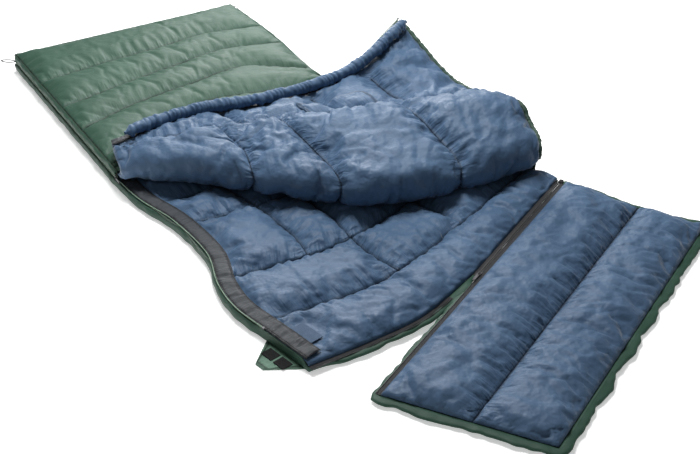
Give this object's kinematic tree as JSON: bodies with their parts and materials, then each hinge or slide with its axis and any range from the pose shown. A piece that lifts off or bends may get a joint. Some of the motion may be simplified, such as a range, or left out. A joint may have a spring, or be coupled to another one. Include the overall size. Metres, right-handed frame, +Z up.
{
  "type": "sleeping bag quilt",
  "caption": "Padded rectangular sleeping bag unzipped as a quilt: zipped foot section, thrown-back flap and a zip-on hood panel.",
  "frame": {"origin": "on the floor under the middle of the bag's body", "axes": "+Z up, +Y towards the foot end, -X towards the zipped side"},
  "size_m": [1.0995, 2.1905, 0.2664],
  "materials": {
    "shell": "satin",
    "lining": "satin",
    "fill": "matte",
    "facing": "matte",
    "zip_tape": "matte",
    "zip_coil": "satin",
    "zip_metal": "satin",
    "hook_tape": "matte",
    "webbing": "matte"
  },
  "bodies": {
    "bag": {"bottom_shell": "shell", "bottom_fill": "fill", "bottom_lining": "lining", "top_shell": "shell", "top_fill": "fill", "top_lining": "lining", "far_side_fold": "shell", "main_tape_lower": "zip_tape", "main_coil_lower": "zip_coil", "main_tape_upper": "zip_tape", "main_coil_upper": "zip_coil", "main_stop_foot": "zip_metal", "main_stop_head": "zip_metal", "facing_lower": "facing", "tab_loop_patch": "hook_tape", "top_head_binding": "shell", "head_tape": "zip_tape", "head_coil": "zip_coil", "hood_zip_tape_body": "zip_tape", "hood_zip_coil_body": "zip_coil", "hood_zip_tape_hood": "zip_tape", "hood_zip_coil_hood": "zip_coil", "hood_zip_box": "zip_metal"},
    "flap": {"flap_shell": "shell", "flap_fill": "fill", "flap_lining": "lining", "flap_facing": "facing", "inner_pocket": "lining", "flap_tape": "zip_tape", "flap_coil": "zip_coil", "draft_tube": "lining", "flap_head_binding": "shell", "flap_stop": "zip_metal"},
    "hood": {"hood_shell": "shell", "hood_fill": "fill", "hood_lining": "lining", "hood_binding": "shell", "hood_edge_tape": "zip_tape", "hood_edge_coil": "zip_coil"},
    "side_slider_body": {"side_slider": "zip_metal"},
    "side_pull_body": {"side_pull": "zip_metal"},
    "foot_slider_body": {"foot_slider": "zip_metal"},
    "foot_pull_body": {"foot_pull": "zip_metal"},
    "hood_slider_body": {"hood_slider": "zip_metal"},
    "hood_pull_body": {"hood_pull": "zip_metal"},
    "closing_tab": {"zip_tab": "shell", "tab_hook_patch_1": "hook_tape", "tab_hook_patch_2": "hook_tape"},
    "near_loop": {"hanging_loop_near": "webbing"},
    "far_loop": {"hanging_loop_far": "webbing"}
  },
  "joints": [
    {"name": "flap_lift", "type": "hinge", "parent": "bag", "child": "flap", "pos_m": [0.005, -0.19507, 0.15326], "axis": [0.8667, -0.4897, 0.0952], "range_deg": [0, 65]},
    {"name": "hood_fold", "type": "hinge", "parent": "bag", "child": "hood", "pos_m": [0.04233, -0.80221, 0.04399], "axis": [-0.9218, -0.3848, -0.0471], "range_deg": [0, 85]},
    {"name": "side_zip_slide", "type": "slide", "parent": "bag", "child": "side_slider_body", "axis": [0.0444, 0.999, 0], "range_m": [0, 0.8]},
    {"name": "side_pull_swing", "type": "hinge", "parent": "side_slider_body", "child": "side_pull_body", "pos_m": [-0.43232, 0.02388, 0.03], "axis": [0, 0, -1], "range_deg": [0, 170]},
    {"name": "foot_zip_slide", "type": "slide", "parent": "bag", "child": "foot_slider_body", "axis": [0.9996, 0.0299, 0], "range_m": [0, 0.67]},
    {"name": "foot_pull_swing", "type": "hinge", "parent": "foot_slider_body", "child": "foot_pull_body", "pos_m": [-0.34015, 0.88555, 0.03], "axis": [0, 0, -1], "range_deg": [0, 170]},
    {"name": "hood_zip_slide", "type": "slide", "parent": "bag", "child": "hood_slider_body", "axis": [0.9218, 0.3848, 0.0471], "range_m": [0, 0.4]},
    {"name": "hood_pull_swing", "type": "hinge", "parent": "hood_slider_body", "child": "hood_pull_body", "pos_m": [0.02914, -0.79547, 0.03513], "axis": [-0.3852, 0.9228, 0], "range_deg": [0, 170]},
    {"name": "tab_fold", "type": "hinge", "parent": "bag", "child": "closing_tab", "pos_m": [-0.42267, -0.75893, 0.0035], "axis": [-0.148, 0.989, 0], "range_deg": [0, 85]},
    {"name": "near_loop_swing", "type": "hinge", "parent": "bag", "child": "near_loop", "pos_m": [-0.39236, 0.88214, 0.03], "axis": [0.7122, 0.702, 0], "range_deg": [-25, 75]},
    {"name": "far_loop_swing", "type": "hinge", "parent": "bag", "child": "far_loop", "pos_m": [0.37778, 0.90446, 0.03], "axis": [0.702, -0.7122, 0], "range_deg": [-25, 75]}
  ]
}
